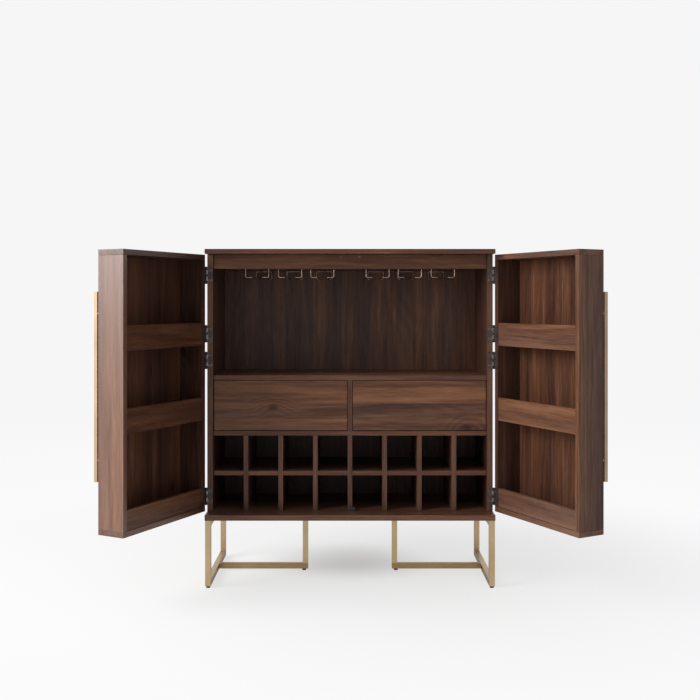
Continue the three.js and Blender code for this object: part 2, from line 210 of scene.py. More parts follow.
def shaped(name, shape, material, body, sharp=50):
    """Makes a piece from its faces: smooth over eased edges, flat on its faces."""
    mesh = bpy.data.meshes.new(name)
    shape.to_mesh(mesh)
    shape.free()
    mesh.polygons.foreach_set("use_smooth", [True] * len(mesh.polygons))
    mesh.set_sharp_from_angle(angle=math.radians(sharp))
    piece = bpy.data.objects.new(name, mesh)
    bpy.context.scene.collection.objects.link(piece)
    flat = piece.modifiers.new("flat faces", "WEIGHTED_NORMAL")
    flat.keep_sharp = True
    mesh.materials.append(material)
    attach(piece, body)
    return piece


def ease(shape, radius, steps=2, angle=25):
    """Rounds over every edge that turns by more than the angle."""
    bmesh.ops.remove_doubles(shape, verts=shape.verts, dist=same_point)
    faces = {"verts": shape.verts, "edges": shape.edges}
    bmesh.ops.dissolve_limit(shape, angle_limit=math.radians(1), **faces)
    bmesh.ops.recalc_face_normals(shape, faces=shape.faces)
    edges = [e for e in shape.edges if e.calc_face_angle(0) > math.radians(angle)]
    bmesh.ops.bevel(
        shape,
        geom=edges,
        offset=radius,
        segments=steps,
        profile=0.5,
        affect="EDGES",
        clamp_overlap=True,
    )


def eased(node, name, radius, material, body, steps=2, angle=25):
    """A piece with a node's own form, its edges eased, in the place of the node."""
    shape = bmesh.new()
    shape.from_mesh(frame["nodes"][node].data)
    ease(shape, radius, steps, angle)
    piece = shaped(name, shape, material, body)
    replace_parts(piece, node)


frame_brass = brushed_brass(
    "base_frame_brass", brass_dull, brass_bright, roughness=0.31, crossbar=crossbar
)
for hand in ("left", "right"):
    node = f"base_frame_{hand}"
    name = f"welded_base_frame_{hand}"
    eased(node, name, tube_corner, frame_brass, "cabinet", steps=3)

# Feet: black nylon glides, moulded with a small radius at the floor. Each is screwed up into its
# tube by a steel stud.

round_sides = 48
foot_rim = 0.8 * mm
hairline = 0.2 * mm
foot_black = (28, 27, 27)


def plastic(name, tint):
    """Moulded plastic with a fine spark-eroded grain."""

    def pattern(place):
        grain = place.noise(1400.0, 2.0)
        worn = place.noise(40.0, 3.0)
        lighter = tuple(c + 14 for c in tint)
        return {
            "Base Color": (0.4 * grain + 0.6 * worn).ramp([(0.3, tint), (0.75, lighter)]),
            "Roughness": 0.42 + 0.2 * grain,
            "Normal": relief(grain, depth=0.05 * mm),
        }

    return coated(name, {}, pattern)


def turned(profile, sides, axis="z"):
    """A solid of revolution. The profile is (radius, height) from one end to the other."""
    shape = bmesh.new()
    rings = []
    for radius, height in profile:
        ring = []
        for i in range(sides):
            turn = 2 * math.pi * i / sides
            x, y = radius * math.cos(turn), radius * math.sin(turn)
            ring.append(shape.verts.new((x, y, height)))
        rings.append(ring)
    for lower, upper in zip(rings, rings[1:]):
        for i in range(sides):
            after = (i + 1) % sides
            shape.faces.new((lower[i], lower[after], upper[after], upper[i]))
    shape.faces.new(reversed(rings[0]))
    shape.faces.new(rings[-1])
    if axis == "y":
        laid = Matrix.Rotation(math.radians(-90), 3, "X")
        bmesh.ops.rotate(shape, verts=shape.verts, matrix=laid)
    return shape


def rounded(radius, height, corner, steps=4):
    """The profile of a turned disc with its two rims rounded."""
    turns = [math.pi / 2 * i / steps for i in range(steps + 1)]
    arcs = [(math.sin(turn), 1 - math.cos(turn)) for turn in turns]
    low = [(radius - corner + corner * s, corner * c) for s, c in arcs]
    high = [(r, height - z) for r, z in reversed(low)]
    return low + high


def moved(shape, place):
    bmesh.ops.translate(shape, verts=shape.verts, vec=place)
    return shape


nylon = plastic("foot_nylon", foot_black)
for hand in ("left", "right"):
    for place in ("front", "back", "inner"):
        node = f"foot_{hand}_{place}"
        low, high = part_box(node)
        middle = (low + high) / 2
        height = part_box(f"base_frame_{hand}")[0].z
        profile = rounded((high.x - low.x) / 2, height - hairline, foot_rim)
        glide = turned(profile, round_sides)
        moved(glide, (middle.x, middle.y, 0))
        foot = shaped(f"glide_{hand}_{place}", glide, nylon, "cabinet")
        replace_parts(foot, node)

# Carcass: walnut boards with eased edges, glued and dowelled. The top and bottom panels overhang the sides, and
# lie with their grain across. The sides and the back stand with theirs upright. The sides are painted darker as
# shade inside the case, all but their front edges.

arris = 0.7 * mm
# Behind a side's front edge, the painted shade fades in between these depths
painted_shade_depth = 1.0 * mm
unshaded_depth = 0.6 * mm
ring_pitch = 7.5 * mm
earth = [(0.2, (44, 27, 22)), (0.5, (80, 53, 43)), (0.8, (116, 84, 68))]
amber = [(0.2, (51, 29, 20)), (0.5, (95, 61, 44)), (0.8, (138, 95, 66))]


def walnut(
    name, along, across, width, seed=0.0, lift=0.0, contrast=1.0, gloss=0.2, door=None, edge=None
):
    """Oiled walnut. The grain runs along one axis, and boards of a width lie side by side across
    another. seed picks the logs, lift makes them paler and contrast makes the figure stronger.
    door turns the axes with a door. edge is where a front edge stands, and how much paler it is than the rest of
    the board, which a lift can paint darker as shade."""

    def pattern(place):
        if door:
            turn = {"Vector": place, "Location": door["pin"], "Rotation": (0, 0, door["turn"])}
            place = place.node("ShaderNodeMapping", turn, vector_type="TEXTURE")
        x = place.node("ShaderNodeSeparateXYZ", {0: place})
        axes = {"x": x, "y": x.other(1), "z": x.other(2)}
        third = next(axis for axis in "xyz" if axis not in (along, across))
        length, side, deep = axes[along], axes[across], axes[third]
        boards = side / width + seed
        board = boards.maths("FLOOR", boards)
        drawn = {"W": board + seed}
        chance = board.node("ShaderNodeTexWhiteNoise", drawn, output=1, noise_dimensions="1D")
        chance = chance.node("ShaderNodeSeparateColor", {0: chance})
        cut, heart, tone = chance, chance.other(1), chance.other(2)
        reach = length + 4.0 * cut + seed

        # Grain that wanders a little down the board, as broad streaks, fine streaks and fibres
        bend = side.node("ShaderNodeCombineXYZ", {0: 3.0 * side + heart, 1: 3.0 * deep, 2: reach})
        line = side + 0.035 * (bend.noise(1.4, 1.0) - 0.5) + 3.0 * heart
        grain = side.node("ShaderNodeCombineXYZ", {0: line, 1: deep, 2: 0.05 * reach})
        broad = grain.noise(14.0, 2.0)
        streak = grain.noise(70.0, 3.0, 0.6)
        fibre = grain.noise(300.0, 2.0)
        pores = grain.noise(900.0, 1.0).rises(0.60, 0.70)

        # Here and there a knot, round which the rings swirl. Elsewhere faces cut them at a slant
        spots = side.node("ShaderNodeCombineXYZ", {0: side + 2.0 * heart, 1: 0.6 * reach, 2: 0.0})
        spread = {"Vector": spots, "Scale": 3.2}
        spot = spots.node("ShaderNodeTexVoronoi", spread, voronoi_dimensions="2D")
        rare = spot.node("ShaderNodeSeparateColor", {0: spot.other(1)}).rises(0.50, 0.54)
        swirl = spot.rises(0.24, 0.0) * rare
        knot = spot.rises(0.060, 0.015) * rare
        middle = (boards - board - 0.5) * width + 0.12 * (heart - 0.5)
        middle = middle + 0.10 * (reach.drift(1.3) - 0.5)
        below = deep + 0.03 + 0.08 * cut + 0.07 * reach.drift(0.9)
        square = middle * middle + below * below
        radius = square.maths("SQRT", square) + 0.010 * broad + 0.020 * swirl
        rings = radius * (2 * math.pi / ring_pitch)
        ring = 0.5 + 0.5 * rings.maths("SINE", rings)

        figure = 0.62 * (broad - 0.5) + 0.52 * (streak - 0.5) + 0.28 * (fibre - 0.5)
        figure = figure + 0.10 * (tone - 0.5) + (0.05 + 0.08 * swirl) * (ring - 0.5)
        shade = 0.5 + lift + contrast * figure - 0.26 * knot - 0.05 * pores - 0.05 * swirl
        # The front edge stays paler where the rest of the board is painted darker as shade
        if edge:
            front, paler = edge
            shade = shade + paler * axes["y"].rises(front + painted_shade_depth, front + unshaded_depth)
        hue = (grain.noise(9.0, 2.0) + 0.35 * (tone - 0.5)).rises(0.36, 0.64)
        return {
            "Base Color": hue.mix(shade.ramp(earth), shade.ramp(amber)),
            "Roughness": 0.30 + 0.10 * fibre + 0.12 * pores,
            "Normal": relief(0.5 * fibre - 0.5 * pores + 0.2 * ring, depth=0.05 * mm),
        }

    return coated(name, {"Specular IOR Level": gloss}, pattern)


def plank(outline, span, corner=arris, steps=2):
    """A board sawn to an outline seen from above, between two heights, with its edges eased."""
    shape = bmesh.new()
    low = [shape.verts.new((x, y, span[0])) for x, y in outline]
    high = [shape.verts.new((x, y, span[1])) for x, y in outline]
    shape.faces.new(low)
    shape.faces.new(reversed(high))
    for i in range(len(outline)):
        after = (i + 1) % len(outline)
        shape.faces.new((low[i], high[i], high[after], low[after]))
    ease(shape, corner, steps)
    return shape


def rectangle(low, high):
    return [(low[0], low[1]), (high[0], low[1]), (high[0], high[1]), (low[0], high[1])]


def sawn(node, name, material, body="cabinet"):
    """A rectangular board in the place of a node."""
    low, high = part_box(node)
    board = shaped(name, plank(rectangle(low, high), (low.z, high.z)), material, body)
    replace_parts(board, node)


sawn("top_panel", "top_board", walnut("walnut_top", "x", "y", 0.15, 2.2, lift=-0.08))
sawn("bottom_panel", "bottom_board", walnut("walnut_bottom", "x", "y", 0.15, 5.4, lift=0.18))
side_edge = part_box("side_panel_left")[0].y
# The sides are painted darker as shade inside the case, all but their front edges
left_wood = walnut("walnut_left_side", "z", "y", 0.11, 1.7, lift=-0.09, edge=(side_edge, 0.20))
right_wood = walnut("walnut_right_side", "z", "y", 0.11, 8.1, lift=-0.08, edge=(side_edge, 0.11))
sawn("side_panel_left", "left_side", left_wood)
sawn("side_panel_right", "right_side", right_wood)
back_wood = walnut("walnut_back", "z", "x", 0.13, 9.3, lift=-0.03, contrast=1.25)
sawn("back_panel", "back_board", back_wood)
sawn("top_rail", "rail", walnut("walnut_rail", "x", "z", 0.3, 4.6, lift=0.02))
sawn("rack_board", "rack_ceiling", walnut("walnut_ceiling", "x", "y", 0.14, 6.9))
sawn("drawer_deck", "bar_deck", walnut("walnut_deck", "x", "y", 0.14, 9.5, lift=0.03))
divider_wood = walnut("walnut_divider", "z", "y", 0.14, 7.2, lift=0.08)
sawn("drawer_divider", "divider_between_drawers", divider_wood)
sawn("cell_deck", "deck_over_cells", walnut("walnut_cell_deck", "x", "y", 0.14, 11.3, lift=-0.08))

# Cells under the drawers: seven upright walnut dividers housed in the decks, with lengths of
# shelf let in between them, all set back from the front edges of the sides. The openings that the
# record names stand clear of the boards.

divider_count = 7
shelf_thick = 20 * mm
joint_gap = 0.1 * mm
opening_clear = 1 * mm
grid_low, grid_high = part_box("bottle_grid")
openings = {o["name"]: o["box_m"] for o in frame["record"]["physics"]["openings"]}
shelf_top = openings["upper_bottle_cell_1"][0][2] - opening_clear
pitch = (grid_high.x - grid_low.x + shelf_thick) / (divider_count + 1)
upright_walnut = walnut("walnut_cell_divider", "z", "y", 0.13, 12.7, lift=0.14)
shelf_walnut = walnut("walnut_cell_shelf", "x", "y", 0.13, 13.9, lift=-0.08)
for i in range(divider_count + 1):
    start = grid_low.x + i * pitch
    end = start + pitch - shelf_thick
    span = (shelf_top - shelf_thick, shelf_top)
    outline = rectangle((start + joint_gap, grid_low.y), (end - joint_gap, grid_high.y))
    shelf = shaped(f"cell_shelf_{i + 1}", plank(outline, span), shelf_walnut, "cabinet")
    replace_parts(shelf, "bottle_grid")
    if i < divider_count:
        outline = rectangle((end, grid_low.y), (end + shelf_thick, grid_high.y))
        upright = plank(outline, (grid_low.z, grid_high.z))
        divider = shaped(f"cell_divider_{i + 1}", upright, upright_walnut, "cabinet")
        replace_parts(divider, "bottle_grid")

# Racks under the ceiling of the bar bay: each is one steel wire, plated in rose bronze. Its front
# ends stand in holes in the ceiling, it runs back as two rails, and two staples hold the loop at
# the rear.

rail_gap = 41 * mm
rear_span = 72 * mm
wire = 4 * mm
wire_bend = 6 * mm
bend_steps = 8
staple = 1.6 * mm
staple_reach = 16 * mm
rack_dark = (140, 116, 104)
rack_bright = (192, 166, 150)


def bronze(name, dark, bright, roughness, metallic=0.85, barrel=None):
    """Antiqued bronze plating, rubbed brighter in places. Within a radius of an upright axis on each side, a
    barrel is sleek and painted near black, as shade on its rounded knuckles."""

    def pattern(place):
        rubbed = place.noise(60.0, 4.0, 0.65)
        fine = place.noise(900.0, 2.0)
        tint = rubbed.ramp([(0.35, dark), (0.7, bright)])
        rough = roughness + 0.18 * fine
        if barrel:
            x = place.node("ShaderNodeSeparateXYZ", {0: place})
            across = x.maths("ABSOLUTE", x) - barrel["axis"][0]
            deep = x.other(1) - barrel["axis"][1]
            square = across * across + deep * deep
            knuckles = square.rises(barrel["radius"] ** 2 * 1.3, barrel["radius"] ** 2 * 1.1)
            # The knuckles are painted near black, as shade on their rounded faces
            tint = knuckles.mix(tint, colour(barrel["black"]))
            rough = rough - (roughness - barrel["roughness"]) * knuckles
        return {"Base Color": tint, "Roughness": rough, "Normal": relief(fine, depth=0.02 * mm)}

    return coated(name, {"Metallic": metallic}, pattern)


def bent_route(corners, bend, steps):
    """The points of a wire through its corners, each corner turned on an arc."""
    route = [corners[0]]
    for before, corner, after in zip(corners, corners[1:], corners[2:]):
        into = (corner - before).normalized()
        out = (after - corner).normalized()
        centre = corner - bend * into + bend * out
        for step in range(steps + 1):
            turn = math.pi / 2 * step / steps
            route.append(centre - bend * math.cos(turn) * out + bend * math.sin(turn) * into)
    return route + [corners[-1]]


def drawn_wire(name, route, thickness, material, body):
    """A wire of round section along a route."""
    curve = bpy.data.curves.new(name, "CURVE")
    curve.dimensions = "3D"
    curve.bevel_depth = thickness / 2
    curve.bevel_resolution = 4
    curve.use_fill_caps = True
    spline = curve.splines.new("POLY")
    spline.points.add(len(route) - 1)
    for point, place in zip(spline.points, route):
        point.co = (*place, 1.0)
    spline.use_smooth = True
    curve.materials.append(material)
    piece = bpy.data.objects.new(name, curve)
    bpy.context.scene.collection.objects.link(piece)
    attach(piece, body)
    return piece


rack_bronze = bronze("rack_bronze", rack_dark, rack_bright, roughness=0.26, metallic=1.0)
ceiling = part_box("rack_board")[0].z
bow = (wire + staple) / 2
bow_turns = [math.pi * step / (2 * bend_steps) for step in range(2 * bend_steps + 1)]
bent = [(-bow * math.cos(turn), -bow * math.sin(turn)) for turn in bow_turns]
for hand in ("left", "right"):
    for number in (1, 2, 3):
        node = f"stemware_rack_{hand}_{number}"
        low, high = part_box(node)
        centre = (low.x + high.x) / 2
        front = (high.x - low.x - wire) / 2
        y0 = low.y + wire / 2
        y1 = high.y - wire / 2
        z0 = low.z + wire / 2
        z1 = ceiling - wire / 2 - hairline
        half = [
            (front, y0, high.z),
            (front, y0, z0),
            (rail_gap / 2, y0, z0),
            (rail_gap / 2, y1, z0),
            (rear_span / 2, y1, z0),
            (rear_span / 2, y1, z1),
        ]
        right = [Vector((centre + x, y, z)) for x, y, z in half]
        left = [Vector((centre - x, y, z)) for x, y, z in reversed(half)]
        route = bent_route(right + left, wire_bend, bend_steps)
        name = f"wire_rack_{hand}_{number}"
        rack = drawn_wire(name, route, wire, rack_bronze, "cabinet")
        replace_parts(rack, node)
        for side in (-1, 1):
            path = [(-bow, ceiling - z1), *bent, (bow, ceiling - z1)]
            legs = [Vector((centre + side * staple_reach, y1 + y, z1 + z)) for y, z in path]
            name = f"staple_{hand}_{number}_{'left' if side < 0 else 'right'}"
            drawn_wire(name, legs, staple, rack_bronze, "cabinet")

# Drawer fronts: flush walnut fronts with a fine shadow gap all round and no handles. Each is cut
# from two boards glued edge to edge, with the grain across.

front_walnut = {
    "left": walnut("walnut_left_drawer", "x", "z", 0.168, 34.851, lift=0.06),
    "right": walnut("walnut_right_drawer", "x", "z", 0.152, 51.965, lift=0.04, contrast=1.15),
}
for hand, material in front_walnut.items():
    sawn(f"drawer_{hand}_front", f"{hand}_drawer_face", material, f"{hand}_drawer")

# Drawer boxes: pale birch ply with clear lacquer. Two cleats under each bottom steer it along a
# zinc-plated runner, which ends in the housing of a push latch with a black plunger.

runner_edge = 0.4 * mm
plunger_edge = 0.3 * mm
birch_pale = (206, 178, 140)
birch_deep = (180, 146, 106)
zinc_dull = (120, 121, 121)
zinc_bright = (170, 171, 170)


def birch(name):
    """Birch ply: the grain of an upright sheet runs level, that of a bottom front to back."""

    def pattern(place):
        upward = place.node("ShaderNodeSeparateXYZ", {0: place.other("Normal")}, output=2)
        lies = upward.maths("ABSOLUTE", upward).rises(0.6, 0.8)
        level = stretched(place, (0.05, 0.05, 1)).noise(160.0, 4.0)
        back = stretched(place, (1, 0.05, 1)).noise(160.0, 4.0)
        grain = level + lies * (back - level)
        cloud = place.noise(6.0, 2.0)
        shade = 0.7 * grain + 0.3 * cloud
        return {
            "Base Color": shade.ramp([(0.3, birch_deep), (0.7, birch_pale)]),
            "Roughness": 0.48 + 0.12 * grain,
            "Normal": relief(grain, depth=0.05 * mm),
        }

    return coated(name, {}, pattern)


def zinc(name):
    """Zinc plate over rolled steel, with a faint spangle of crystals."""

    def pattern(place):
        spread = {"Vector": place, "Scale": 260.0}
        crystals = place.node("ShaderNodeTexVoronoi", spread, output="Color")
        spangle = crystals.node("ShaderNodeSeparateColor", {0: crystals})
        rolled = stretched(place, (1, 0.02, 1)).noise(700.0, 2.0)
        shade = 0.25 * spangle + 0.75 * rolled
        return {
            "Base Color": shade.ramp([(0.3, zinc_dull), (0.7, zinc_bright)]),
            "Roughness": 0.3 + 0.15 * rolled,
        }

    return coated(name, {"Metallic": 1.0}, pattern)


box_birch = birch("drawer_birch")
runner_zinc = zinc("runner_zinc")
plunger_black = plastic("plunger_plastic", foot_black)
for hand in ("left", "right"):
    node = f"drawer_{hand}_box"
    name = f"{hand}_drawer_box"
    eased(node, name, arris, box_birch, f"{hand}_drawer")
    node = f"drawer_{hand}_runner"
    name = f"{hand}_runner_and_latch"
    eased(node, name, runner_edge, runner_zinc, "cabinet", angle=40)
    node = f"drawer_{hand}_latch_plunger"
    name = f"{hand}_plunger"
    eased(node, name, plunger_edge, plunger_black, f"{hand}_latch", angle=40)

# Doors: deep walnut boxes. Top and bottom boards cap an upright panel at the hinges and a slanted
# one at the free end, and the outer slab is mitred in between. The bottom lip is glued into the
# frame, over a fine shadow line. Each tray is a shelf with an upright lip.

door_depth = 128 * mm
door_bevel = 20.5 * mm
door_side = 25 * mm
door_cap = 22 * mm
slab = 19 * mm
lip_recess = 2 * mm
lip_thick = 19 * mm
lip_height = 79 * mm
cap_groove = 0.4 * mm
lip_groove = 1.2 * mm
pin_out = 4.5 * mm
centre_gap = 1.5 * mm
hinge_gap = 2 * mm
glue_gap = 0.15 * mm
doors = {}
for hand, joint in zip(("left", "right"), frame["joints"]):
    pin = Vector(joint["pos_m"])
    open_by = math.radians(-joint["range_deg"][0])
    mirror = 1 if hand == "left" else -1
    beside = Matrix.Translation((pin.x, pin.y, 0)) @ Matrix.Diagonal((mirror, 1, 1, 1))
    doors[hand] = {
        "pin": (pin.x, pin.y, 0),
        "turn": -mirror * open_by,
        "on_case": beside,
        "on_door": beside @ Matrix.Rotation(-open_by, 4, "Z"),
    }

door_end = abs(doors["left"]["pin"][0]) - centre_gap
rear = -hinge_gap
face = -hinge_gap - door_depth
slab_back = face + slab
lip_back = rear - lip_recess - lip_thick


def free_end(y, inset=0.0):
    """Where the slanted free end stands at a depth, or a plane that far inside it."""
    return door_end - door_bevel * (rear - y) / door_depth - inset


def hung(shape, hand, side="on_door"):
    """Takes a shape that is drawn about the left-hand pins, with the door shut, to a door as it
    hangs, or to the case beside it."""
    place = doors[hand][side]
    bmesh.ops.transform(shape, matrix=place, verts=shape.verts)
    if place.determinant() < 0:
        bmesh.ops.reverse_faces(shape, faces=shape.faces)
    return shape


def between(y0, y1, start, inset):
    """The plan of a board that runs between two depths, from a start to inside the free end."""
    return [(start, y0), (free_end(y0, inset), y0), (free_end(y1, inset), y1), (start, y1)]


# For each part of a door: the axes of its grain and its boards, their width, the log, how much
# paler, the contrast and the gloss
door_logs = {
    "left": {
        "caps": ("x", "y", 0.4, 40.0, 0.08, 1.0, 0.6),
        "hinge_side": ("z", "y", 0.4, 41.7, -0.16, 1.0, 0.2),
        # The left end's lift is partly its log's own tone and partly painted light, for the light that falls on it
        # from the left
        "end": ("z", "y", 0.4, 49.7, 0.16, 0.8, 0.68),
        "lips": ("x", "z", 0.35, 50.1, -0.07, 1.0, 0.2),
        "bottom_lip": ("x", "z", 0.35, 50.1, 0.06, 1.0, 0.2),
        "trays": ("x", "y", 0.4, 40.0, 0.0, 1.0, 0.2),
        "slab": ("z", "x", 0.118, 45.9, -0.04, 0.9, 0.2),
    },
    "right": {
        "caps": ("x", "y", 0.4, 60.0, 0.24, 1.0, 0.2),
        "hinge_side": ("z", "y", 0.4, 61.7, -0.04, 1.0, 0.2),
        "end": ("z", "y", 0.4, 55.7, 0.04, 1.2, 0.24),
        "lips": ("x", "z", 0.35, 49.1, 0.13, 1.1, 0.2),
        "bottom_lip": ("x", "z", 0.35, 49.1, 0.20, 1.1, 0.2),
        "trays": ("x", "y", 0.4, 60.0, 0.0, 1.0, 0.2),
        "slab": ("z", "x", 0.118, 65.9, -0.08, 1.1, 0.2),
    },
}
for hand, door in doors.items():
    node = f"door_{hand}_frame"
    low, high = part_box(node)
    cap_low = (low.z, low.z + door_cap)
    cap_high = (high.z - door_cap, high.z)
    inner = (cap_low[1] + cap_groove, cap_high[0] - cap_groove)
    lip_span = (cap_low[1] + lip_groove, cap_low[1] + lip_height)
    start = pin_out + door_side
    hinge_panel = [(pin_out, rear), (start, rear), (start, slab_back), (pin_out, face)]
    end_panel = [
        (free_end(rear, door_side), rear),
        (door_end, rear),
        (free_end(face), face),
        (free_end(slab_back, door_side), slab_back),
    ]
    mitred_slab = [
        (pin_out + glue_gap, face),
        (free_end(face) - glue_gap, face),
        (free_end(slab_back, door_side) - glue_gap, slab_back),
        (start + glue_gap, slab_back),
    ]
    bottom_lip = between(rear - lip_recess, lip_back, start, door_side)
    woods = {}
    for part, log in door_logs[hand].items():
        woods[part] = walnut(f"walnut_{hand}_door_{part}", *log, door=door)
    parts = {
        "top_cap": (between(rear, face, pin_out, 0), cap_high, "caps", node),
        "bottom_cap": (between(rear, face, pin_out, 0), cap_low, "caps", node),
        "hinge_panel": (hinge_panel, inner, "hinge_side", node),
        "end_panel": (end_panel, inner, "end", node),
        "bottom_lip": (bottom_lip, lip_span, "bottom_lip", node),
        "slab": (mitred_slab, inner, "slab", f"door_{hand}_face"),
    }
    for place in ("middle", "upper"):
        tray = f"door_{hand}_{place}_tray"
        tray_low, tray_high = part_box(tray)
        shelf_span = (tray_low.z, tray_low.z + slab)
        ends = (start + glue_gap, door_side + glue_gap)
        lip = between(rear - lip_recess, lip_back, *ends)
        shelf = between(lip_back - glue_gap, slab_back + glue_gap, *ends)
        parts[f"{place}_lip"] = (lip, (tray_low.z, tray_high.z), "lips", tray)
        parts[f"{place}_shelf"] = (shelf, shelf_span, "trays", tray)
    for part, (outline, span, wood, stood_for) in parts.items():
        shape = hung(plank(outline, span), hand)
        piece = shaped(f"{hand}_door_{part}", shape, woods[wood], f"{hand}_door")
        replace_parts(piece, stood_for)

# Pulls: long square bars of the same brushed brass, one near each door's free edge. Two turned
# posts hold the bar off the door, and are screwed from inside the slab.

pull_bar = 15 * mm
pull_gap = 6 * mm
pull_inset = 2 * mm
post_spacing = 565 * mm
post_radius = 5 * mm
bar_edge = 0.8 * mm
post_edge = 0.4 * mm
pull_bright = (184, 160, 136)
pull_dull = (154, 131, 108)
post_bright = (240, 220, 196)
post_dull = (216, 192, 164)
pull_brass = brushed_brass("pull_brass", pull_dull, pull_bright, roughness=0.50)
post_brass = brushed_brass("post_brass", post_dull, post_bright, roughness=0.08)


def squared(low, high):
    """A square block between two corners."""
    block = bmesh.new()
    bmesh.ops.create_cube(block, size=1.0)
    size = tuple(b - a for a, b in zip(low, high))
    bmesh.ops.scale(block, verts=block.verts, vec=size)
    return moved(block, tuple((a + b) / 2 for a, b in zip(low, high)))


def join_into(whole, shape):
    mesh = bpy.data.meshes.new("joined")
    shape.to_mesh(mesh)
    shape.free()
    whole.from_mesh(mesh)
    bpy.data.meshes.remove(mesh)


for hand in doors:
    node = f"door_{hand}_pull"
    low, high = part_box(node)
    far = free_end(face) - pull_inset
    near = far - pull_bar
    inner = face - pull_gap
    bar = squared((near, inner - pull_bar, low.z), (far, inner, high.z))
    ease(bar, bar_edge, steps=3)
    posts = bmesh.new()
    for end in (-1, 1):
        # The post's far rim is sunk in the bar by its own rounding
        profile = rounded(post_radius, pull_gap + post_edge, post_edge)
        height = (low.z + high.z) / 2 + end * post_spacing / 2
        post = turned(profile, round_sides, axis="y")
        join_into(posts, moved(post, ((near + far) / 2, inner - post_edge, height)))
    for name, shape, brass in (("pull", bar, pull_brass), ("pull_posts", posts, post_brass)):
        shape = hung(shape, hand)
        piece = shaped(f"{hand}_{name}", shape, brass, f"{hand}_door")
        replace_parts(piece, node)

# Hinges: pressed butt hinges in dark bronze, four to a door. The leaves lie on the front edge of
# the side and on the back edge of the door, each held by countersunk screws.

knuckle = 3.6 * mm
knuckle_gap = 0.3 * mm
knuckle_count = 5
leaf_thick = 1.6 * mm
leaf_start = 4.2 * mm
leaf_end = 28.5 * mm
leaf_seat = 0.2 * mm
leaf_edge = 0.25 * mm
plate_lap = 0.1 * mm
knuckle_edge = 0.3 * mm
barrel_sides = 32
finial = 1.0 * mm
finial_radius = 0.75 * knuckle
finial_edge = 0.6 * mm
hinge_dark = (63, 52, 48)
hinge_bright = (94, 79, 73)
# Painted shade on the knuckles: a near black colour, with a sleeker finish
barrel_painted_shade = {
    "axis": doors["right"]["pin"],
    "radius": knuckle,
    "black": (36, 29, 26),
    "roughness": 0.26,
}
hinge_bronze = bronze(
    "hinge_bronze", hinge_dark, hinge_bright, roughness=0.46, metallic=0.6, barrel=barrel_painted_shade
)
screw_dark = (96, 81, 74)
screw_bright = (146, 127, 116)
screw_bronze = bronze("screw_bronze", screw_dark, screw_bright, roughness=0.24)
screw_head = 3.2 * mm
screw_slot = 0.45 * mm
screw_proud = 0.15 * mm
screw_edge = 0.06 * mm
lobe_steps = 6
screw_places = [(x, z) for x in (0.2, 0.72) for z in (-0.28, 0.28)]


def hinge_leaf(on_case, middle, height):
    """A leaf about its pin: plate, knuckles and, on the case, the ends of the pin."""
    shape = bmesh.new()
    near = leaf_seat if on_case else -leaf_seat - leaf_thick
    spans = []
    step = height / knuckle_count
    for i in range(0 if on_case else 1, knuckle_count, 2):
        bottom = middle - height / 2 + i * step
        spans.append((bottom + knuckle_gap / 2, bottom + step - knuckle_gap / 2))
    plates = [(leaf_start, leaf_end, middle - height / 2, middle + height / 2)]
    plates += [(0, leaf_start + plate_lap, low, high) for low, high in spans]
    for start, end, low, high in plates:
        plate = squared((start, near, low), (end, near + leaf_thick, high))
        ease(plate, leaf_edge)
        join_into(shape, plate)
    for low, high in spans:
        barrel = turned(rounded(knuckle, high - low, knuckle_edge, steps=2), barrel_sides)
        join_into(shape, moved(barrel, (0, 0, low)))
    if on_case:
        for end in (-1, 1):
            profile = rounded(finial_radius, 2 * finial, finial_edge, steps=3)
            tip = turned(profile, barrel_sides)
            join_into(shape, moved(tip, (0, 0, middle + end * height / 2 - finial)))
    return shape


def cross_heads(on_case, middle, height):
    """The heads of a leaf's screws: each is four lobes round a cross recess."""
    heads = bmesh.new()
    start = math.asin(screw_slot / screw_head)
    sweep = math.pi / 2 - 2 * start
    arc = [start + sweep * step / lobe_steps for step in range(lobe_steps + 1)]
    rim = [(screw_head * math.cos(turn), screw_head * math.sin(turn)) for turn in arc]
    lobe = [(screw_slot, screw_slot), *rim]
    upright = Matrix.Rotation(math.radians(90), 3, "X")
    out = leaf_seat if on_case else -leaf_seat
    for across, up in screw_places:
        place = (leaf_start + across * (leaf_end - leaf_start), out, middle + up * height)
        for quarter in range(4):
            head = plank(lobe, (-screw_proud, screw_proud), screw_edge, steps=1)
            turn = upright @ Matrix.Rotation(math.radians(90 * quarter), 3, "Z")
            bmesh.ops.rotate(head, verts=head.verts, matrix=turn)
            join_into(heads, moved(head, place))
    return heads


for hand in doors:
    for number in (1, 2, 3, 4):
        case_node = f"hinge_{hand}_{number}_case_leaf"
        door_node = f"hinge_{hand}_{number}_door_leaf"
        low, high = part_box(door_node)
        middle = (low.z + high.z) / 2
        height = high.z - low.z
        for node, side, body in (
            (case_node, "on_case", "cabinet"),
            (door_node, "on_door", f"{hand}_door"),
        ):
            on_case = side == "on_case"
            name = f"{hand}_hinge_{number}_{'case' if on_case else 'door'}"
            leaf = hung(hinge_leaf(on_case, middle, height), hand, side)
            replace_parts(shaped(f"{name}_leaf", leaf, hinge_bronze, body), node)
            heads = hung(cross_heads(on_case, middle, height), hand, side)
            shaped(f"{name}_screws", heads, screw_bronze, body, sharp=30)

# Catch: a black moulded block on the bottom panel that stops both doors, and two steel magnet
# discs let into the top rail.

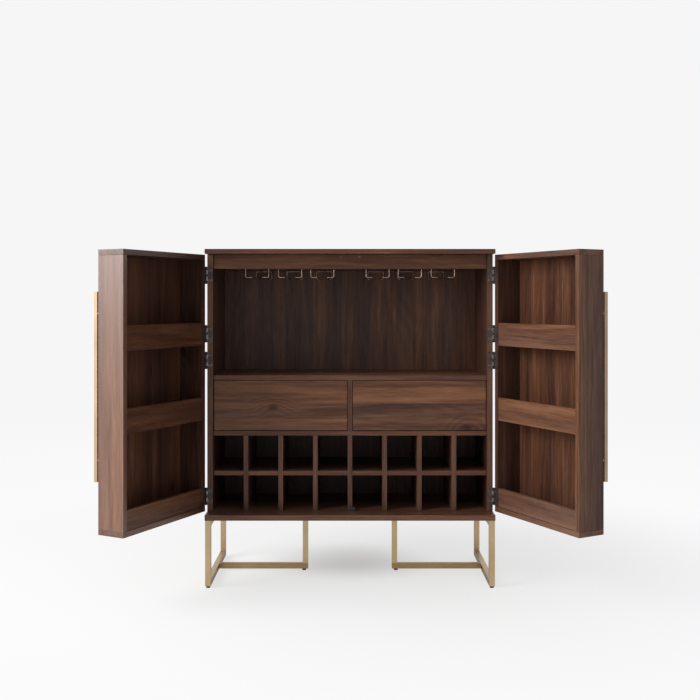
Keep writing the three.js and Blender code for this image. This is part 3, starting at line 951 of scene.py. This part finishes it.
catch_edge = 1.5 * mm
catch_black = (26, 19, 16)
magnet_radius = 5 * mm
magnet_edge = 0.4 * mm
magnet_proud = 1.5 * mm
magnet_reach = 40 * mm
magnet_drop = 9 * mm
steel_dull = (84, 70, 62)
steel_bright = (132, 114, 102)
moulded = plastic("catch_plastic", catch_black)
eased("door_catch", "catch_block", catch_edge, moulded, "cabinet", steps=3)
magnet_steel = bronze("magnet_steel", steel_dull, steel_bright, roughness=0.22)
rail_low, rail_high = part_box("top_rail")
for side in (-1, 1):
    profile = rounded(magnet_radius, 2 * magnet_proud, magnet_edge)
    disc = turned(profile, round_sides, axis="y")
    moved(disc, (side * magnet_reach, rail_low.y - magnet_proud, rail_high.z - magnet_drop))
    name = "left" if side < 0 else "right"
    shaped(f"{name}_magnet", disc, magnet_steel, "cabinet")

# Studio: a white sweep with no horizon, a broad soft key from the front left, and the camera
# where the photograph was taken, level and square on to the cabinet.

sweep_white = (246, 246, 246)
floor_white = (250, 250, 250)
paper = (0.95, 0.95, 0.95, 1)
floor_reach = 30.0
sweep_centre = (0.0, 0.45, 0.0)
near_fade = (0.05, 0.45)
far_fade = (0.6, 2.4)
tone_fade = (1.5, 8.0)
ambient = 0.46
light_aim = Vector((0, 0, 0.8))
camera_height = 1202 * mm
camera_distance = 4753 * mm
camera_lens = 58.37
image_size = 700
image_drop = 48.6
camera_shift = -image_drop / image_size
front_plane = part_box("top_panel")[0].y

floor_mesh = bmesh.new()
bmesh.ops.create_grid(floor_mesh, x_segments=1, y_segments=1, size=floor_reach)
mesh = bpy.data.meshes.new("floor")
floor_mesh.to_mesh(mesh)
floor_mesh.free()
floor = bpy.data.objects.new("floor", mesh)
bpy.context.scene.collection.objects.link(floor)


def seen_directly(field):
    """1 for rays from the camera, off a gloss or through a clear piece: they meet plain white."""
    camera_ray = field.node("ShaderNodeLightPath", {}, output="Is Camera Ray")
    seen = camera_ray.maths("MAXIMUM", camera_ray, camera_ray.other("Is Glossy Ray"))
    return seen.maths("MAXIMUM", seen, camera_ray.other("Is Transmission Ray"))


def white_sweep():
    """The floor: lit paper under the cabinet, fading to the plain white of the backdrop."""
    material = bpy.data.materials.new("floor_sweep")
    material.use_nodes = True
    tree = material.node_tree
    shader = tree.nodes["Principled BSDF"]
    shader.inputs["Base Color"].default_value = paper
    shader.inputs["Roughness"].default_value = 0.9
    shader.inputs["Specular IOR Level"].default_value = 0.1
    place = Field(tree, tree.nodes.new("ShaderNodeTexCoord").outputs["Object"])
    seen = seen_directly(place)
    away = {0: place, 1: sweep_centre}
    reach = place.node("ShaderNodeVectorMath", away, output="Value", operation="DISTANCE")
    white = reach.rises(*tone_fade).mix(colour(floor_white), colour(sweep_white))
    glow = place.node("ShaderNodeEmission", {"Color": white, "Strength": 1.0})
    share = seen * (0.42 + 0.28 * reach.rises(*near_fade) + 0.30 * reach.rises(*far_fade))
    lit = Field(tree, shader.outputs[0])
    mixed = share.node("ShaderNodeMixShader", {0: share, 1: lit, 2: glow})
    tree.links.new(mixed.socket, tree.nodes["Material Output"].inputs["Surface"])
    return material


mesh.materials.append(white_sweep())

world = bpy.data.worlds.new("studio")
bpy.context.scene.world = world
world.use_nodes = True
sky = world.node_tree
background = sky.nodes["Background"]
background.inputs["Color"].default_value = colour(sweep_white)
seen = seen_directly(Field(sky, None))
sky.links.new((ambient + (1 - ambient) * seen).socket, background.inputs["Strength"])


def softbox(name, azimuth, elevation, distance, size, power):
    """A soft light that faces the cabinet's middle. Azimuth turns left from straight in front."""
    lamp = bpy.data.lights.new(name, "AREA")
    lamp.shape = "RECTANGLE"
    lamp.size, lamp.size_y = size
    lamp.energy = power
    light = bpy.data.objects.new(name, lamp)
    bpy.context.scene.collection.objects.link(light)
    azimuth, elevation = math.radians(azimuth), math.radians(elevation)
    out = Vector((-math.sin(azimuth), -math.cos(azimuth), 0)) * math.cos(elevation)
    out.z = math.sin(elevation)
    light.location = light_aim + distance * out
    light.rotation_euler = (-out).to_track_quat("-Z", "Y").to_euler()


softbox("key", azimuth=62, elevation=25, distance=5.0, size=(3.4, 3.4), power=275)

camera = bpy.data.objects.new("camera", bpy.data.cameras.new("camera"))
bpy.context.scene.collection.objects.link(camera)
camera.data.lens = camera_lens
camera.data.shift_y = camera_shift
camera.location = (0, front_plane - camera_distance, camera_height)
camera.rotation_euler = (math.radians(90), 0, 0)
bpy.context.scene.camera = camera
bpy.context.scene.view_settings.view_transform = "Standard"
